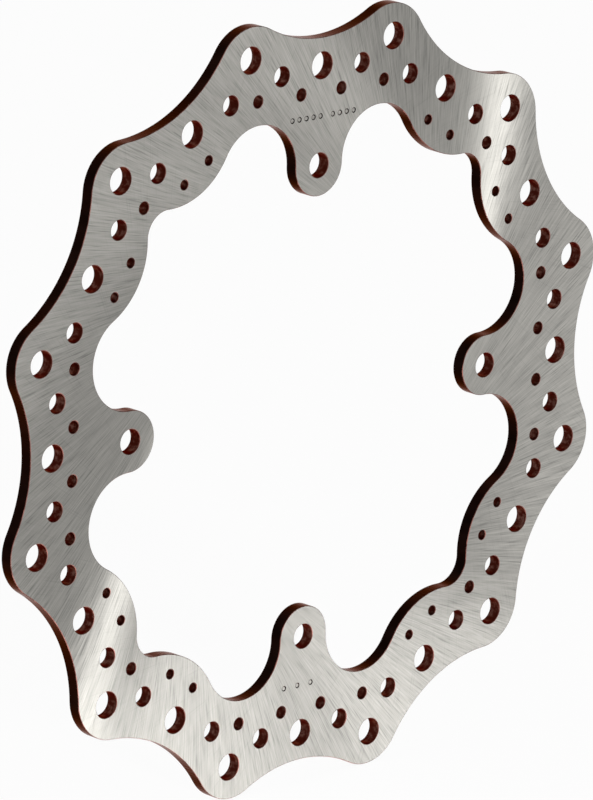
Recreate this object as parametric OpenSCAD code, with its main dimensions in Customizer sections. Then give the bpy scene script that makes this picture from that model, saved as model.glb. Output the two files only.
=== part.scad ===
// Wave-rim brake disc: one flat plate with four inward lugs for the hub bolts.
// The disc stands upright. Its axis is Y, one lug points up, and the origin is at its centre.

/* [Plate] */
// Outside diameter over the wave tips
disc_d = 240; // [236:1:290]
// Thickness of the plate
plate_t = 4; // [3:0.1:6]
// Width of the braking band, from the valley floors to the pocket floors
band_w = 19.2; // [17:0.1:22]

/* [Wave rim] */
// Number of waves
waves = 12; // [8, 12]
// Depth of each valley below the wave tips
wave_depth = 10.3; // [8.5:0.1:12.5]
// Radius of each rounded wave tip
tip_r = 13.9; // [10:0.1:17]

/* [Lugs] */
// Diameter of the circle that the bolt holes lie on
bolt_circle_d = 143; // [118:0.5:160]
// Diameter of each bolt hole
bolt_hole_d = 7.4; // [5:0.1:9]
// Radius of each lug's round end, and half the width of its neck
lug_r = 9.3; // [7.5:0.1:11]

/* [Opening] */
// Radius of the pocket on each side of a lug
pocket_r = 14.7; // [12:0.1:15.5]
// Radius of the bump between a pocket and the middle hollow
bump_r = 24.3; // [20:0.1:27]
// How far the bumps stand in from the pocket floors
bump_rise = 6.9; // [5.5:0.1:7.8]
// How far the middle hollow's floor lies beyond the pocket floors
hollow_sink = 0.7; // [0:0.1:2]

/* [Ventilation holes] */
// Diameter of the large holes, one in every wave and one at every valley
large_d = 8; // [6:0.1:9.5]
// From a wave tip in to the centre of its large hole
wave_hole_inset = 9.8; // [8:0.1:12]
// From a valley floor in to the centre of its large hole
valley_hole_inset = 8.4; // [6.5:0.1:9.5]
// Diameter of the medium holes, a pair beside every valley's large hole
medium_d = 5.9; // [4:0.1:7]
// From a valley's line across to its medium holes
medium_reach = 16; // [14:0.1:18]
// How much nearer the axis the medium holes lie at the valleys that have no lug
medium_step = 0.6; // [0:0.1:1.5]
// Diameter of the small holes, a pair behind every lug and one under every wave
small_d = 3.7; // [2.5:0.1:4.5]
// From a lug's line across to its small holes
small_reach = 8; // [6:0.1:10]
// From the pocket floors out to the small holes behind the lugs
lug_hole_inset = 3.4; // [3:0.1:5]
// From the pocket floors out to the small holes under the waves
wave_small_inset = 6.6; // [5:0.1:7.5]
// Diameter of the tiny holes, a pair in every bump
tiny_d = 2.9; // [2:0.1:4]
// From a bump's line across to its tiny holes
tiny_reach = 5.5; // [4:0.1:7]
// From a bump's crest out to its tiny holes
tiny_inset = 6.9; // [4:0.1:8]

/* [Hidden] */
$fn = 96;

// How much neighbouring arcs overlap, so that they cross cleanly where they meet
cross = 0.005;

// Lines from the axis that the pattern repeats on, in degrees anticlockwise from the top lug
lugs = 4;
lug_pitch = 360 / lugs;
wave_pitch = 360 / waves;
lug_lines = [for (i = [0 : lugs - 1]) i * lug_pitch];
valley_lines = [for (i = [0 : waves - 1]) i * wave_pitch];
wave_lines = [for (line = valley_lines) line + wave_pitch / 2];

// Distances from the axis
tip_circle_r = disc_d / 2;
valley_circle_r = tip_circle_r - wave_depth;
pocket_circle_r = valley_circle_r - band_w;
bump_circle_r = pocket_circle_r - bump_rise;
hollow_circle_r = pocket_circle_r + hollow_sink;
bolt_circle_r = bolt_circle_d / 2;
valley_hole_r = valley_circle_r - valley_hole_inset;

// A point at a distance from the axis on a line, and the distance and line of a point
function at(r, line) = [-r * sin(line), r * cos(line)];
function polar(point) = [norm(point), atan2(-point.x, point.y)];

// Angle at the axis of a triangle with sides a and b from the axis and the far side c
function angle_between(a, b, c) = acos((a * a + b * b - c * c) / (2 * a * b));

// Radius of an arc that is centred on one line, has its floor at floor_r, and touches a round of
// radius r whose centre is at d on a line off degrees away. The side is 1 where the arc's centre
// lies beyond its floor, and -1 where it lies nearer the axis.
function touching_radius(floor_r, d, off, r, side) =
    let (along = d * cos(off))
    (floor_r * floor_r - 2 * floor_r * along + d * d - r * r) / (2 * (r + side * (along - floor_r)));

// Rim: round tips and hollow valleys, each meeting the next
tip_centre_r = tip_circle_r - tip_r;
valley_r = touching_radius(valley_circle_r, tip_centre_r, wave_pitch / 2, tip_r - cross, 1);
valley_centre_r = valley_circle_r + valley_r;

// Opening: a lug, a pocket, a bump and the middle hollow, each meeting the next. The pocket
// meets the straight neck of a long lug, and the round end of a short one.
pocket_centre_r = pocket_circle_r - pocket_r;
pocket_side = lug_r + pocket_r - cross;
neck_side = lug_r - cross / 2;
long_lug = pow(pocket_centre_r, 2) > pow(pocket_side, 2) + pow(bolt_circle_r, 2);
pocket_line = long_lug ? asin(pocket_side / pocket_centre_r)
                       : angle_between(bolt_circle_r, pocket_centre_r, pocket_side);
bump_centre_r = bump_circle_r + bump_r;
bump_line = pocket_line
    + angle_between(pocket_centre_r, bump_centre_r, pocket_r + bump_r - cross);
hollow_line = lug_pitch / 2;
hollow_r = touching_radius(hollow_circle_r, bump_centre_r, hollow_line - bump_line,
                           bump_r - cross, -1);
hollow_centre_r = hollow_circle_r - hollow_r;
bump_lines = [for (line = lug_lines, side = [-1, 1]) line + side * bump_line];

// Draws a round at a distance from the axis on each of the lines
module rounds(r, lines, d) {
    for (line = lines) translate(at(r, line)) circle(d = d);
}

// Draws a pair of rounds at a distance from the axis, reaching across from each of the lines
module pairs(r, lines, reach, d) {
    spread = asin(reach / r);
    rounds(r, [for (line = lines, side = [-1, 1]) line + side * spread], d);
}

// Outer shape: the polygon through the centres of its arcs, with the tips added and the valleys cut
module rim() {
    difference() {
        union() {
            polygon([for (line = valley_lines, tip = [false, true])
                tip ? at(tip_centre_r, line + wave_pitch / 2) : at(valley_centre_r, line)]);
            rounds(tip_centre_r, wave_lines, 2 * tip_r);
        }
        rounds(valley_centre_r, valley_lines, 2 * valley_r);
    }
}

// Inner shape, made the same way: the pockets and hollows are added and the bumps cut
module opening() {
    neck = [[-neck_side, bolt_circle_r], [-neck_side, pocket_centre_r * cos(pocket_line)]];
    half = concat(
        long_lug ? [for (corner = neck) polar(corner)] : [],
        [[pocket_centre_r, pocket_line], [bump_centre_r, bump_line]]);
    difference() {
        union() {
            polygon([for (line = lug_lines) each concat(
                [for (i = [len(half) - 1 : -1 : 0]) at(half[i][0], line - half[i][1])],
                [at(bolt_circle_r, line)],
                [for (corner = half) at(corner[0], line + corner[1])],
                [at(hollow_centre_r, line + hollow_line)])]);
            for (side = [-1, 1])
                rounds(pocket_centre_r, [for (line = lug_lines) line + side * pocket_line], 2 * pocket_r);
            rounds(hollow_centre_r, [for (line = lug_lines) line + hollow_line], 2 * hollow_r);
        }
        rounds(bump_centre_r, bump_lines, 2 * bump_r);
    }
}

// Round ends of the lugs, with a core up each neck that a very wide hollow can't reach into
module lug_ends() {
    rounds(bolt_circle_r, lug_lines, 2 * lug_r);
    if (long_lug) for (line = lug_lines) rotate(line)
        translate([cross - lug_r, bolt_circle_r + lug_r / 4])
            square([2 * (lug_r - cross), pocket_circle_r - bolt_circle_r]);
}

module vent_holes() {
    plain_lines = [for (line = valley_lines) if (line % lug_pitch != 0) line];
    rounds(tip_circle_r - wave_hole_inset, wave_lines, large_d);
    rounds(valley_hole_r, valley_lines, large_d);
    pairs(valley_hole_r, lug_lines, medium_reach, medium_d);
    pairs(valley_hole_r - medium_step, plain_lines, medium_reach, medium_d);
    pairs(pocket_circle_r + lug_hole_inset, lug_lines, small_reach, small_d);
    rounds(pocket_circle_r + wave_small_inset, wave_lines, small_d);
    pairs(bump_circle_r + tiny_inset, bump_lines, tiny_reach, tiny_d);
}

module brake_disc() {
    color("silver") rotate([90, 0, 0]) linear_extrude(plate_t, center = true) difference() {
        union() {
            difference() {
                rim();
                opening();
            }
            lug_ends();
        }
        rounds(bolt_circle_r, lug_lines, bolt_hole_d);
        vent_holes();
    }
}

brake_disc();
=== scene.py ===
import math

import bmesh
import bpy
from mathutils import Matrix, Vector


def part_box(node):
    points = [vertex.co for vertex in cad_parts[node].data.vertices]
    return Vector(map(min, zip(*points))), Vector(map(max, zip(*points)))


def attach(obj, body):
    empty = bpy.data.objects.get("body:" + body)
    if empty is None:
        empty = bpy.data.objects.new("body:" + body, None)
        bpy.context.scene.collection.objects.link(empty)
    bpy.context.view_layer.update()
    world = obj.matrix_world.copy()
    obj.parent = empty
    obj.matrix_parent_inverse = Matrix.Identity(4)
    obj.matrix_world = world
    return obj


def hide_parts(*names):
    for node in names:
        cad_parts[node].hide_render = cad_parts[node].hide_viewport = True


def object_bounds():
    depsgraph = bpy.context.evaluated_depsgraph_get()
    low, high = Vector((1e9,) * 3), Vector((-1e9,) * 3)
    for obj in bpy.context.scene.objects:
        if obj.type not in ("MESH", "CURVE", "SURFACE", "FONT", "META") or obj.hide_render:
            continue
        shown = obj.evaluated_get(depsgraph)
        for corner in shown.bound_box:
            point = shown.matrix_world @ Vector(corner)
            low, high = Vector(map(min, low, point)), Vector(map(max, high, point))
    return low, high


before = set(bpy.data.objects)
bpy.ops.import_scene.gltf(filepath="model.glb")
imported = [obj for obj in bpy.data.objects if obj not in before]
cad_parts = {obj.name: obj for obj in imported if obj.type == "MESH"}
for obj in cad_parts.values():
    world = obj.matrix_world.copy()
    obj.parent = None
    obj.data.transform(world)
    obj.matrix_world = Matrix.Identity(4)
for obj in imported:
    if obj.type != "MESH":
        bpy.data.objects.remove(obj)        # one body, "root", and one node, "brake_disc"
cad_low, cad_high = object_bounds()
plate_low, plate_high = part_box("brake_disc")

MM = 0.001
FRONT = Vector((0, -1, 0))          # the plate's axis, towards the side that is seen first
STAND_Z = cad_low.z                 # the two lowest wave tips touch the floor here

# Wave rim, all from the CAD. Radii from the axis end in _OUT, radii of arcs in _R.
TIP_OUT = 120 * MM
TIP_R = 13.9 * MM
VALLEY_OUT = 109.7 * MM
WAVES = 12

# Opening and lugs
POCKET_OUT = 90.5 * MM
POCKET_R = 14.7 * MM
BUMP_OUT = 83.6 * MM
BUMP_R = 24.3 * MM
HOLLOW_OUT = 91.2 * MM
BOLT_OUT = 71.5 * MM
LUG_R = 9.3 * MM
LUGS = 4

# Drilled holes, all from the CAD. Distances of their centres from the axis end in _AT, and
# distances across from the line that a pair follows end in _REACH.
BOLT_D = 7.4 * MM
LARGE_D = 8.0 * MM
LARGE_WAVE_AT = 110.2 * MM
LARGE_VALLEY_AT = 101.3 * MM
MEDIUM_D = 5.9 * MM
MEDIUM_REACH = 16.0 * MM
MEDIUM_LUG_AT = 101.3 * MM
MEDIUM_PLAIN_AT = 100.7 * MM
SMALL_D = 3.7 * MM
SMALL_REACH = 8.0 * MM
SMALL_LUG_AT = 93.9 * MM
SMALL_WAVE_AT = 97.1 * MM
TINY_D = 2.9 * MM
TINY_REACH = 5.5 * MM
TINY_AT = 90.5 * MM

# Broken edge: how far each of its loops lies below the flat face, and how far inside the wall
EDGE_STEPS = ((0.001 * MM, 0.16 * MM), (0.047 * MM, 0.047 * MM), (0.16 * MM, 0.0))
SKIN = 0.03 * MM                    # keeps the rim inside the CAD's own facets
CHORD = 1.1 * MM                    # longest straight step along an arc
SMALL_HOLE_R = 2.5 * MM             # holes up to this radius have fewer sides
SMALL_HOLE_SIDES = 32
LARGE_HOLE_SIDES = 48
WELD = 1e-6                         # metres, closes the end of a loop on its start
UPRIGHT = 0.01                      # a face whose normal has less Y than this is wall, not edge

# Punch marks on the front, at the roots of two lugs: (how many, first centre's X, height, pitch)
DOT_ROWS = (
    (5, -11.2 * MM, 86.2 * MM, 2.8 * MM),
    (4, 4.9 * MM, 86.2 * MM, 2.8 * MM),
    (3, -7.1 * MM, -86.4 * MM, 5.4 * MM),
)
DOT_SIDES = 24
DOT_R = 0.85 * MM
DOT_SLOPE = 0.3 * MM                # width of the sloping side
DOT_DEPTH = 0.15 * MM

GROUND, BROKEN, CUT, DRILLED = range(4)    # the plate's material slots

# Ground face: the radii of the two wheels' arcs, and the misses that grinding_field explains
WHEEL_R = 500 * MM
WHEEL_MISS = 56.5 * MM
CROSSING_R = 9000 * MM
CROSSING_MISS = -61 * MM
FACES_APART = 1000.0                # shifts the pattern between the front and the back
WIDTH_TRUE_AT = 90.0                # mm along a line at which its scratches are as wide as stated

# Colour sockets of a Mix node, whose names its other kinds of value share
MIX_A, MIX_B, MIX_OUT = 6, 7, 2


# ---------------------------------------------------------------- small helpers

def unit(angle):
    """A unit vector in the plate's plane, anticlockwise from +X as seen from the front."""
    return Vector((math.cos(angle), 0, math.sin(angle)))


def on_line(distance, line):
    """A point at a distance from the axis, on a line in degrees anticlockwise from the top lug."""
    return distance * unit(math.radians(90 + line))


def angle_between(a, b, c):
    """The angle at the axis, in degrees, of a triangle with sides a and b from it and far side c."""
    return math.degrees(math.acos((a * a + b * b - c * c) / (2 * a * b)))


def touching_radius(floor, distance, off, radius, side):
    """The radius of an arc on one line that touches a round whose centre is off degrees away."""
    along = distance * math.cos(math.radians(off))
    rise = floor ** 2 - 2 * floor * along + distance ** 2 - radius ** 2
    return rise / (2 * (radius + side * (along - floor)))


def facing(centre, depth):
    """The place of a circle that is parallel to the plate's faces, at a depth through it."""
    return Matrix.Translation(centre + Vector((0, depth, 0))) @ Matrix.Rotation(math.pi / 2, 4, "X")


# ---------------------------------------------------------------- the plate's shape

def rim_rounds():
    """The rim's tips and valleys in order, as (centre, radius, 1 for a crest or -1 for a hollow)."""
    pitch = 360 / WAVES
    tip_at = TIP_OUT - TIP_R
    valley_r = touching_radius(VALLEY_OUT, tip_at, pitch / 2, TIP_R, 1)
    rounds = []
    for wave in range(WAVES):
        rounds.append((on_line(VALLEY_OUT + valley_r, wave * pitch), valley_r, -1))
        rounds.append((on_line(tip_at, (wave + 0.5) * pitch), TIP_R, 1))
    return rounds


def opening_lines():
    """Where a lug's pocket and bump are centred: each one's distance from the axis, and its line."""
    pocket_at = POCKET_OUT - POCKET_R
    pocket_line = math.degrees(math.asin((LUG_R + POCKET_R) / pocket_at))
    bump_at = BUMP_OUT + BUMP_R
    bump_line = pocket_line + angle_between(pocket_at, bump_at, POCKET_R + BUMP_R)
    return pocket_at, pocket_line, bump_at, bump_line


def opening_rounds():
    """The opening's lugs, pockets, bumps and hollows in order, with the steel on the left."""
    half_pitch = 180 / LUGS
    pocket_at, pocket_line, bump_at, bump_line = opening_lines()
    hollow_r = touching_radius(HOLLOW_OUT, bump_at, half_pitch - bump_line, BUMP_R, -1)
    rounds = []
    for lug in range(LUGS):
        line = -lug * 2 * half_pitch
        rounds.append((on_line(BOLT_OUT, line), LUG_R, 1))
        rounds.append((on_line(pocket_at, line - pocket_line), POCKET_R, -1))
        rounds.append((on_line(bump_at, line - bump_line), BUMP_R, 1))
        rounds.append((on_line(HOLLOW_OUT - hollow_r, line - half_pitch), hollow_r, -1))
        rounds.append((on_line(bump_at, line - 2 * half_pitch + bump_line), BUMP_R, 1))
        rounds.append((on_line(pocket_at, line - 2 * half_pitch + pocket_line), POCKET_R, -1))
    return rounds


def hole_places():
    """Every drilled hole, as (centre, radius)."""
    lug_lines = [lug * 360 / LUGS for lug in range(LUGS)]
    valley_lines = [wave * 360 / WAVES for wave in range(WAVES)]
    plain_lines = [line for line in valley_lines if line not in lug_lines]
    wave_lines = [line + 180 / WAVES for line in valley_lines]
    bump_line = opening_lines()[-1]
    bump_lines = [line + side * bump_line for line in lug_lines for side in (-1, 1)]
    holes = []

    def singles(lines, distance, diameter):
        for line in lines:
            holes.append((on_line(distance, line), diameter / 2))

    def pairs(lines, distance, reach, diameter):
        off = math.degrees(math.asin(reach / distance))
        singles([line + side * off for line in lines for side in (-1, 1)], distance, diameter)

    singles(lug_lines, BOLT_OUT, BOLT_D)
    singles(wave_lines, LARGE_WAVE_AT, LARGE_D)
    singles(valley_lines, LARGE_VALLEY_AT, LARGE_D)
    pairs(lug_lines, MEDIUM_LUG_AT, MEDIUM_REACH, MEDIUM_D)
    pairs(plain_lines, MEDIUM_PLAIN_AT, MEDIUM_REACH, MEDIUM_D)
    pairs(lug_lines, SMALL_LUG_AT, SMALL_REACH, SMALL_D)
    singles(wave_lines, SMALL_WAVE_AT, SMALL_D)
    pairs(bump_lines, TINY_AT, TINY_REACH, TINY_D)
    return holes


def leaving_angle(here, there):
    """The direction from here's centre in which an outline leaves it for the next round."""
    way = there[0] - here[0]
    lean = math.acos(min(1.0, (here[1] + there[1]) / way.length))
    return math.atan2(way.z, way.x) - here[2] * lean


def trace(bm, rounds, inset, depth):
    """Draws one closed outline by spinning a corner round each round's centre in turn."""
    start = end = None
    for i, here in enumerate(rounds):
        before, after = rounds[i - 1], rounds[(i + 1) % len(rounds)]
        centre, radius, side = here
        centre = centre + Vector((0, depth, 0))
        arrive = leaving_angle(before, here) + math.pi
        sweep = side * ((side * (leaving_angle(here, after) - arrive)) % (2 * math.pi))
        corner = centre + (radius - side * inset) * unit(arrive)
        if end is None:
            start = end = bmesh.ops.create_vert(bm, co=corner)["vert"][0]
        else:
            end = bmesh.ops.extrude_vert_indiv(bm, verts=[end])["verts"][0]
            end.co = corner
        steps = math.ceil(abs(sweep) * radius / CHORD)
        spun = bmesh.ops.spin(bm, geom=[end], cent=centre, axis=FRONT, angle=sweep,
                              steps=steps, use_merge=False)
        end = [v for v in spun["geom_last"] if isinstance(v, bmesh.types.BMVert)][0]
    last = bmesh.ops.extrude_vert_indiv(bm, verts=[end])["verts"][0]
    last.co = start.co


def ring(bm, centre, radius, depth):
    """Draws one hole's circle."""
    sides = LARGE_HOLE_SIDES if radius > SMALL_HOLE_R else SMALL_HOLE_SIDES
    bmesh.ops.create_circle(bm, segments=sides, radius=radius, matrix=facing(centre, depth))


def wall(draw, finish):
    """One wall of the plate: a loop drawn at every depth, each bridged to the next."""
    bm = bmesh.new()
    above = []
    for depth, inset in plate_levels():
        old = set(bm.verts)
        draw(bm, inset, depth)
        new = [v for v in bm.verts if v not in old]
        bmesh.ops.remove_doubles(bm, verts=new, dist=WELD)
        loop = list({e for v in bm.verts if v not in old for e in v.link_edges})
        if above:
            bmesh.ops.bridge_loops(bm, edges=above + loop)
        above = loop
    bm.normal_update()
    for face in bm.faces:
        face.material_index = finish if abs(face.normal.y) < UPRIGHT else BROKEN
    mesh = bpy.data.meshes.new("wall")
    bm.to_mesh(mesh)
    bm.free()
    return mesh


def punch_mark(centre):
    """One small round dent in the front face, open towards it, its sloping sides painted near-black
    as shade.
    """
    place = facing(centre, plate_low.y + EDGE_STEPS[0][0])
    bm = bmesh.new()
    bmesh.ops.create_circle(bm, cap_ends=True, segments=DOT_SIDES, radius=DOT_R, matrix=place)
    bm.normal_update()
    floor = list(bm.faces)
    inward = -1 if floor[0].normal.y < 0 else 1
    side = bmesh.ops.inset_region(bm, faces=floor, thickness=DOT_SLOPE, depth=inward * DOT_DEPTH,
                                  use_even_offset=True, use_boundary=True)
    # painted shade: the sloping sides take the near-black cut-wall material, so each dent shows as a
    # dark ring
    for face in side["faces"]:
        face.material_index = CUT
    mesh = bpy.data.meshes.new("mark")
    bm.to_mesh(mesh)
    bm.free()
    return mesh


def plate_levels():
    """The depths of the plate's loops from front to back, and how far each lies inside the wall."""
    front = [(plate_low.y + down, SKIN + inset) for down, inset in EDGE_STEPS]
    back = [(plate_high.y - down, SKIN + inset) for down, inset in reversed(EDGE_STEPS)]
    return front + back


def build_plate():
    """The whole disc: the walls of its outlines, holes and marks, closed by two flat faces."""
    walls = [wall(lambda bm, inset, depth: trace(bm, rounds, inset, depth), CUT)
             for rounds in (rim_rounds(), opening_rounds())]
    walls += [wall(lambda bm, inset, depth: ring(bm, centre, radius + inset, depth), DRILLED)
              for centre, radius in hole_places()]
    walls += [punch_mark(Vector((first + i * pitch, 0, height)))
              for count, first, height, pitch in DOT_ROWS for i in range(count)]
    bm = bmesh.new()
    for mesh in walls:
        bm.from_mesh(mesh)
        bpy.data.meshes.remove(mesh)
    for side in (-1, 1):
        edges = [e for e in bm.edges if e.is_boundary and e.verts[0].co.y * side > 0]
        bmesh.ops.triangle_fill(bm, use_beauty=True, edges=edges, normal=FRONT)
    bmesh.ops.recalc_face_normals(bm, faces=bm.faces)
    smooth_faces(bm)
    mesh = bpy.data.meshes.new("disc_plate")
    bm.to_mesh(mesh)
    bm.free()
    plate = bpy.data.objects.new("disc_plate", mesh)
    bpy.context.scene.collection.objects.link(plate)
    return plate


def smooth_faces(bm):
    """Shades every face smooth, and keeps the line between two finishes sharp."""
    for face in bm.faces:
        face.smooth = True
    for edge in bm.edges:
        finishes = {face.material_index for face in edge.link_faces}
        edge.smooth = len(finishes) == 1


# ---------------------------------------------------------------- materials

def colour(code):
    """An sRGB hex colour as linear RGBA."""
    parts = [int(code[i:i + 2], 16) / 255 for i in (1, 3, 5)]
    linear = [p / 12.92 if p <= 0.04045 else ((p + 0.055) / 1.055) ** 2.4 for p in parts]
    return (*linear, 1.0)


def add(tree, kind, inputs=None, **settings):
    """Adds a node with its settings. Each input is a value, or another node's output to link."""
    node = tree.nodes.new(kind)
    for name, value in settings.items():
        setattr(node, name, value)
    for socket, source in (inputs or {}).items():
        if isinstance(source, bpy.types.NodeSocket):
            tree.links.new(source, node.inputs[socket])
        else:
            node.inputs[socket].default_value = source
    return node


def blank_material(name):
    """A material with its tree emptied, and its output node."""
    material = bpy.data.materials.new(name)
    material.use_nodes = True
    material.node_tree.nodes.clear()
    return material, material.node_tree


def grinding_field(tree, miss, wheel):
    """The lines that a cup wheel leaves on the turning plate: arcs of the wheel's radius. A very
    large wheel's arcs pass the axis at the miss, and a smaller wheel's a little nearer. A negative
    miss leans them the other way.

    Returns the direction across the lines, a vector that tells one line from the next, and how
    far along its line each point lies, kept apart on the two faces."""
    place = add(tree, "ShaderNodeTexCoord").outputs["Object"]
    flat = add(tree, "ShaderNodeVectorMath", {0: place, 1: (1, 0, 1)},
               operation="MULTIPLY").outputs[0]
    squared = add(tree, "ShaderNodeVectorMath", {0: flat, 1: flat},
                  operation="DOT_PRODUCT").outputs["Value"]
    gap = add(tree, "ShaderNodeMath", {0: squared, 1: -0.5 / wheel, 2: miss},
              operation="MULTIPLY_ADD").outputs[0]
    gap_squared = add(tree, "ShaderNodeMath", {0: gap, 1: gap}, operation="MULTIPLY").outputs[0]
    along = add(tree, "ShaderNodeMath", {0: squared, 1: gap_squared},
                operation="SUBTRACT").outputs[0]
    along = add(tree, "ShaderNodeMath", {0: along, 1: 0.5}, operation="POWER").outputs[0]
    turned = add(tree, "ShaderNodeVectorMath", {0: FRONT, 1: flat},
                 operation="CROSS_PRODUCT").outputs[0]
    outward = add(tree, "ShaderNodeVectorMath", {0: flat, "Scale": gap},
                  operation="SCALE").outputs[0]
    sideways = add(tree, "ShaderNodeVectorMath", {0: turned, "Scale": along},
                   operation="SCALE").outputs[0]
    across = add(tree, "ShaderNodeVectorMath", {0: outward, 1: sideways},
                 operation="SUBTRACT").outputs[0]
    across = add(tree, "ShaderNodeVectorMath", {0: across}, operation="NORMALIZE").outputs[0]
    hub = add(tree, "ShaderNodeVectorMath", {0: flat, 1: (1 / wheel, 0, 1 / wheel), 2: across},
              operation="MULTIPLY_ADD").outputs[0]
    side = add(tree, "ShaderNodeSeparateXYZ", {0: place}).outputs["Y"]
    along = add(tree, "ShaderNodeMath", {0: side, 1: FACES_APART, 2: along},
                operation="MULTIPLY_ADD").outputs[0]
    return across, hub, along


def scratches(tree, field, width, length, seed):
    """Noise drawn out along the grinding lines: width across them and length along them, in mm."""
    _, hub, along = field
    fan = add(tree, "ShaderNodeVectorMath", {0: hub, "Scale": WIDTH_TRUE_AT / width},
              operation="SCALE").outputs[0]
    slow = add(tree, "ShaderNodeMath", {0: along, 1: 1 / (length * MM), 2: seed},
               operation="MULTIPLY_ADD").outputs[0]
    shift = add(tree, "ShaderNodeCombineXYZ", {"Y": slow}).outputs[0]
    spot = add(tree, "ShaderNodeVectorMath", {0: fan, 1: shift}, operation="ADD").outputs[0]
    return add(tree, "ShaderNodeTexNoise", {"Vector": spot, "Scale": 1.0, "Detail": 1.0,
                                            "Roughness": 0.6}).outputs["Fac"]


def weigh(tree, parts):
    """The sum of several values, each times its weight."""
    total = 0.0
    for value, weight in parts:
        total = add(tree, "ShaderNodeMath", {0: value, 1: weight, 2: total},
                    operation="MULTIPLY_ADD").outputs[0]
    return total


def ground_stainless():
    """Martensitic stainless steel, ground flat by a large cup wheel: a soft grey sheen that is
    drawn out across long, slightly curling scratches, with fainter ones crossing them."""
    material, tree = blank_material("ground_stainless_steel")
    field = grinding_field(tree, WHEEL_MISS, WHEEL_R)
    crossing_field = grinding_field(tree, CROSSING_MISS, CROSSING_R)
    # real grit scratches are about 0.05 mm wide, too fine to show, so the finest are 0.35 mm
    fine = scratches(tree, field, width=0.38, length=10, seed=3.0)
    medium = scratches(tree, field, width=0.5, length=20, seed=11.0)
    passes = scratches(tree, field, width=4.0, length=60, seed=23.0)
    crossing = scratches(tree, crossing_field, width=0.35, length=12, seed=37.0)
    mix = weigh(tree, ((fine, 0.5), (medium, 0.27), (passes, 0.15), (crossing, 0.08)))
    tone = add(tree, "ShaderNodeMapRange", {"Value": mix, "From Min": 0.35,
                                            "From Max": 0.65}).outputs[0]
    shade = add(tree, "ShaderNodeMix", {"Factor": tone, MIX_A: colour("#7d7c78"),
                                        MIX_B: colour("#989691")},
                data_type="RGBA").outputs[MIX_OUT]
    # the few deepest scratches are drawn darker
    dark_line = add(tree, "ShaderNodeMapRange", {"Value": fine, "From Min": 0.28, "From Max": 0.40,
                                            "To Min": 0.3, "To Max": 0.0}).outputs[0]
    crossing_dark_line = add(tree, "ShaderNodeMapRange", {"Value": crossing, "From Min": 0.26,
                                                     "From Max": 0.36, "To Min": 0.12,
                                                     "To Max": 0.0}).outputs[0]
    deep = weigh(tree, ((dark_line, 1.0), (crossing_dark_line, 1.0)))
    shade = add(tree, "ShaderNodeMix", {"Factor": deep, MIX_A: shade, MIX_B: colour("#4a4a47")},
                data_type="RGBA").outputs[MIX_OUT]
    rough = add(tree, "ShaderNodeMapRange", {"Value": medium, "From Min": 0.3, "From Max": 0.7,
                                             "To Min": 0.33, "To Max": 0.29}).outputs[0]
    # each scratch lies up to a degree or so off its neighbours, which frays the sheen's edge
    stray = weigh(tree, ((fine, 0.5), (medium, 0.5)))
    wander = add(tree, "ShaderNodeMapRange", {"Value": stray, "From Min": 0.3, "From Max": 0.7,
                                              "To Min": -0.022, "To Max": 0.022}).outputs[0]
    drawn = add(tree, "ShaderNodeVectorMath", {0: FRONT, 1: field[0]},
                operation="CROSS_PRODUCT").outputs[0]
    drift = add(tree, "ShaderNodeVectorMath", {0: drawn, "Scale": wander},
                operation="SCALE").outputs[0]
    tangent = add(tree, "ShaderNodeVectorMath", {0: field[0], 1: drift},
                  operation="ADD").outputs[0]
    bump = add(tree, "ShaderNodeBump", {"Height": mix, "Strength": 0.10,
                                        "Distance": 0.02 * MM}).outputs[0]
    shader = add(tree, "ShaderNodeBsdfPrincipled", {
        "Base Color": shade, "Metallic": 1.0, "Roughness": rough, "Anisotropic": 1.0,
        "Tangent": tangent, "Normal": bump}).outputs[0]
    add(tree, "ShaderNodeOutputMaterial", {"Surface": shader})
    return material


def wall_marks(tree, width, height):
    """Noise on a wall: width mm along it, and height mm through the plate's thickness."""
    place = add(tree, "ShaderNodeTexCoord").outputs["Object"]
    spot = add(tree, "ShaderNodeMapping", {"Vector": place, "Scale": (
        1 / (width * MM), 1 / (height * MM), 1 / (width * MM))}).outputs[0]
    return add(tree, "ShaderNodeTexNoise", {"Vector": spot, "Scale": 1.0, "Detail": 2.0,
                                            "Roughness": 0.6}).outputs["Fac"]


def cut_wall():
    """The same steel, laser cut and hardened: a glossy, nearly black red-brown oxide with fine
    striations through the thickness, which turns coppery pink where it is seen at a low angle."""
    material, tree = blank_material("laser_cut_hardened_steel")
    # striations are really about 0.2 mm apart, drawn a little coarser so that they show
    streaks = wall_marks(tree, width=0.5, height=9.0)
    clouds = wall_marks(tree, width=7.0, height=12.0)
    tint = add(tree, "ShaderNodeMapRange", {"Value": clouds, "From Min": 0.4,
                                            "From Max": 0.75}).outputs[0]
    shade = add(tree, "ShaderNodeMix", {"Factor": tint, MIX_A: colour("#080403"),
                                        MIX_B: colour("#160b09")},
                data_type="RGBA").outputs[MIX_OUT]
    rough = add(tree, "ShaderNodeMapRange", {"Value": streaks, "From Min": 0.3, "From Max": 0.7,
                                             "To Min": 0.20, "To Max": 0.32}).outputs[0]
    bump = add(tree, "ShaderNodeBump", {"Height": streaks, "Strength": 0.5,
                                        "Distance": 0.03 * MM}).outputs[0]
    shader = add(tree, "ShaderNodeBsdfPrincipled", {
        "Base Color": shade, "Metallic": 1.0, "Roughness": rough, "Normal": bump,
        "Specular Tint": colour("#e6c2ba")}).outputs[0]
    add(tree, "ShaderNodeOutputMaterial", {"Surface": shader})
    return material


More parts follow.
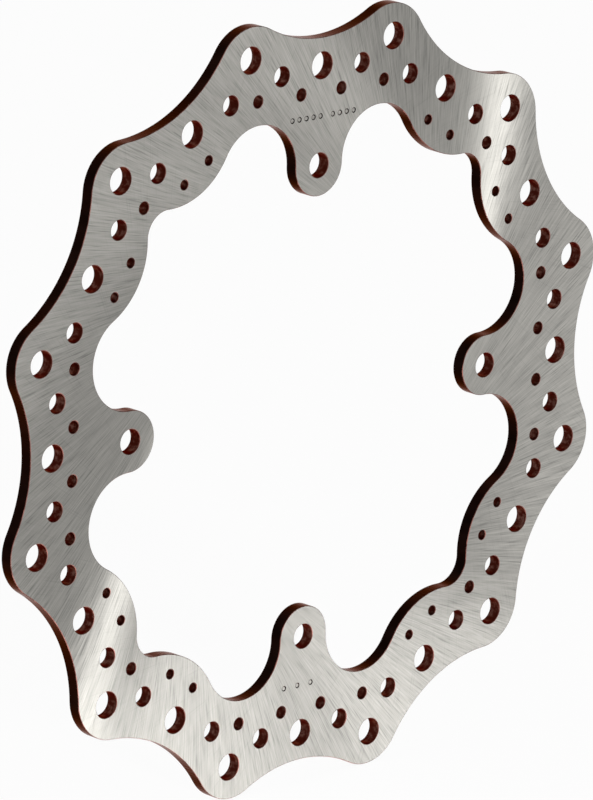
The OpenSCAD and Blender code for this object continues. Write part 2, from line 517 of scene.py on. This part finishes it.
def drilled_wall():
    """The wall that a drill leaves, browned by the hardening: satin red-brown, with paler
    rubbed patches where the oxide is thin."""
    material, tree = blank_material("drilled_hardened_steel")
    rings = wall_marks(tree, width=2.0, height=0.6)
    patches = wall_marks(tree, width=1.6, height=2.5)
    wear = weigh(tree, ((rings, 0.3), (patches, 0.7)))
    rubbed = add(tree, "ShaderNodeMapRange", {"Value": wear, "From Min": 0.48,
                                              "From Max": 0.75}).outputs[0]
    shade = add(tree, "ShaderNodeMix", {"Factor": rubbed, MIX_A: colour("#35140e"),
                                        MIX_B: colour("#684b43")},
                data_type="RGBA").outputs[MIX_OUT]
    rough = add(tree, "ShaderNodeMapRange", {"Value": wear, "From Min": 0.35, "From Max": 0.65,
                                             "To Min": 0.5, "To Max": 0.36}).outputs[0]
    bump = add(tree, "ShaderNodeBump", {"Height": rings, "Strength": 0.4,
                                        "Distance": 0.03 * MM}).outputs[0]
    shader = add(tree, "ShaderNodeBsdfPrincipled", {
        "Base Color": shade, "Metallic": 1.0, "Roughness": rough, "Normal": bump,
        "Specular Tint": colour("#d8a79c")}).outputs[0]
    add(tree, "ShaderNodeOutputMaterial", {"Surface": shader})
    return material


def broken_edge():
    """The sharp edge broken by tumbling: a thin, satin line of the red-brown oxide, rubbed back
    towards bare steel in places."""
    material, tree = blank_material("tumbled_edge_steel")
    wear = wall_marks(tree, width=3.0, height=3.0)
    rubbed = add(tree, "ShaderNodeMapRange", {"Value": wear, "From Min": 0.35,
                                              "From Max": 0.65}).outputs[0]
    shade = add(tree, "ShaderNodeMix", {"Factor": rubbed, MIX_A: colour("#331712"),
                                        MIX_B: colour("#5e3b35")},
                data_type="RGBA").outputs[MIX_OUT]
    rough = add(tree, "ShaderNodeMapRange", {"Value": wear, "From Min": 0.35, "From Max": 0.65,
                                             "To Min": 0.6, "To Max": 0.5}).outputs[0]
    shader = add(tree, "ShaderNodeBsdfPrincipled", {
        "Base Color": shade, "Metallic": 1.0, "Roughness": rough}).outputs[0]
    add(tree, "ShaderNodeOutputMaterial", {"Surface": shader})
    return material


# ---------------------------------------------------------------- studio

WHITE = (1, 1, 1, 1)
FILL = 0.4                          # strength of the room's light on everything but mirrors
PLAIN_SHARE = 0.95                  # how much of the floor is plain white where it is seen

def seen_directly(tree):
    """1 for rays from the camera, a mirror-like reflection or a see-through surface."""
    path = add(tree, "ShaderNodeLightPath")
    first = add(tree, "ShaderNodeMath", {0: path.outputs["Is Camera Ray"],
                                         1: path.outputs["Is Glossy Ray"]},
                operation="MAXIMUM").outputs[0]
    return add(tree, "ShaderNodeMath", {0: first, 1: path.outputs["Is Transmission Ray"]},
               operation="MAXIMUM").outputs[0]


def studio_world():
    """White wherever it is seen or mirrored, and a soft fill for everything else."""
    world = bpy.data.worlds.new("studio")
    world.use_nodes = True
    tree = world.node_tree
    tree.nodes.clear()
    fill = add(tree, "ShaderNodeBackground", {"Color": WHITE, "Strength": FILL}).outputs[0]
    white = add(tree, "ShaderNodeBackground", {"Color": WHITE, "Strength": 1.0}).outputs[0]
    both = add(tree, "ShaderNodeMixShader", {0: seen_directly(tree), 1: fill, 2: white}).outputs[0]
    add(tree, "ShaderNodeOutputWorld", {"Surface": both})
    bpy.context.scene.world = world


def studio_floor():
    """White paper. What is seen of it is mostly plain white, over a little of its real shading,
    so that the disc's shadow still shows."""
    bm = bmesh.new()
    bmesh.ops.create_grid(bm, x_segments=1, y_segments=1, size=6.0,
                          matrix=Matrix.Translation((0, 0, STAND_Z)))
    mesh = bpy.data.meshes.new("floor")
    bm.to_mesh(mesh)
    bm.free()
    floor = bpy.data.objects.new("floor", mesh)
    bpy.context.scene.collection.objects.link(floor)
    material, tree = blank_material("white_paper")
    paper = add(tree, "ShaderNodeBsdfDiffuse", {"Color": colour("#fafafa")}).outputs[0]
    plain = add(tree, "ShaderNodeEmission", {"Color": WHITE, "Strength": 1.0}).outputs[0]
    amount = add(tree, "ShaderNodeMath", {0: seen_directly(tree), 1: PLAIN_SHARE},
                 operation="MULTIPLY").outputs[0]
    both = add(tree, "ShaderNodeMixShader", {0: amount, 1: paper, 2: plain}).outputs[0]
    add(tree, "ShaderNodeOutputMaterial", {"Surface": both})
    mesh.materials.append(material)
    floor.visible_glossy = False       # the steel mirrors the white room on every side
    floor.visible_shadow = False       # the low cards shine up through it


def lamp(name, place, size, watts, aim=(0, 0, 0)):
    """A square soft box that faces the disc and isn't seen itself."""
    data = bpy.data.lights.new(name, "AREA")
    data.size = size
    data.energy = watts
    box = bpy.data.objects.new(name, data)
    box.location = place
    box.rotation_mode = "QUATERNION"
    box.rotation_quaternion = (Vector(aim) - Vector(place)).to_track_quat("-Z", "Y")
    box.visible_camera = False
    bpy.context.scene.collection.objects.link(box)


def studio_lamps():
    """A far key lamp in front, a little to the left, and three low cards that brighten the lower
    part of the face."""
    lamp("key", place=(-1.74, -5.69, 0.74), size=0.75, watts=350)
    low_centre = (0, 0, -0.03)
    lamp("card_right", place=(0.5, -0.30, -0.16), size=0.2, watts=0.17, aim=low_centre)
    lamp("card_foot", place=(0.1, -0.12, -0.30), size=0.2, watts=0.95, aim=low_centre)
    lamp("card_left", place=(-0.1, -0.12, -0.16), size=0.2, watts=1.35, aim=low_centre)


def camera():
    """A long lens from the left front, a little above the disc and turned slightly."""
    data = bpy.data.cameras.new("camera")
    data.lens = 363.25
    data.sensor_width = 36
    data.clip_start = 0.1
    data.clip_end = 50
    eye = bpy.data.objects.new("camera", data)
    aim = Vector((-0.0040, 0, 0.0010))
    distance = 2.363
    azimuth = math.radians(-43.83)
    elevation = math.radians(15.17)
    roll = math.radians(1.905)
    back = Vector((math.sin(azimuth) * math.cos(elevation),
                   -math.cos(azimuth) * math.cos(elevation), math.sin(elevation)))
    eye.location = aim + distance * back
    turn = (-back).to_track_quat("-Z", "Y").to_matrix() @ Matrix.Rotation(roll, 3, "Z")
    eye.rotation_mode = "QUATERNION"
    eye.rotation_quaternion = turn.to_quaternion()
    bpy.context.scene.collection.objects.link(eye)
    bpy.context.scene.camera = eye


# ---------------------------------------------------------------- the scene

camera()
studio_world()
studio_floor()
studio_lamps()

disc = build_plate()
for make in (ground_stainless, broken_edge, cut_wall, drilled_wall):
    disc.data.materials.append(make())
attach(disc, "root")
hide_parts("brake_disc")

bpy.context.scene.view_settings.view_transform = "Standard"
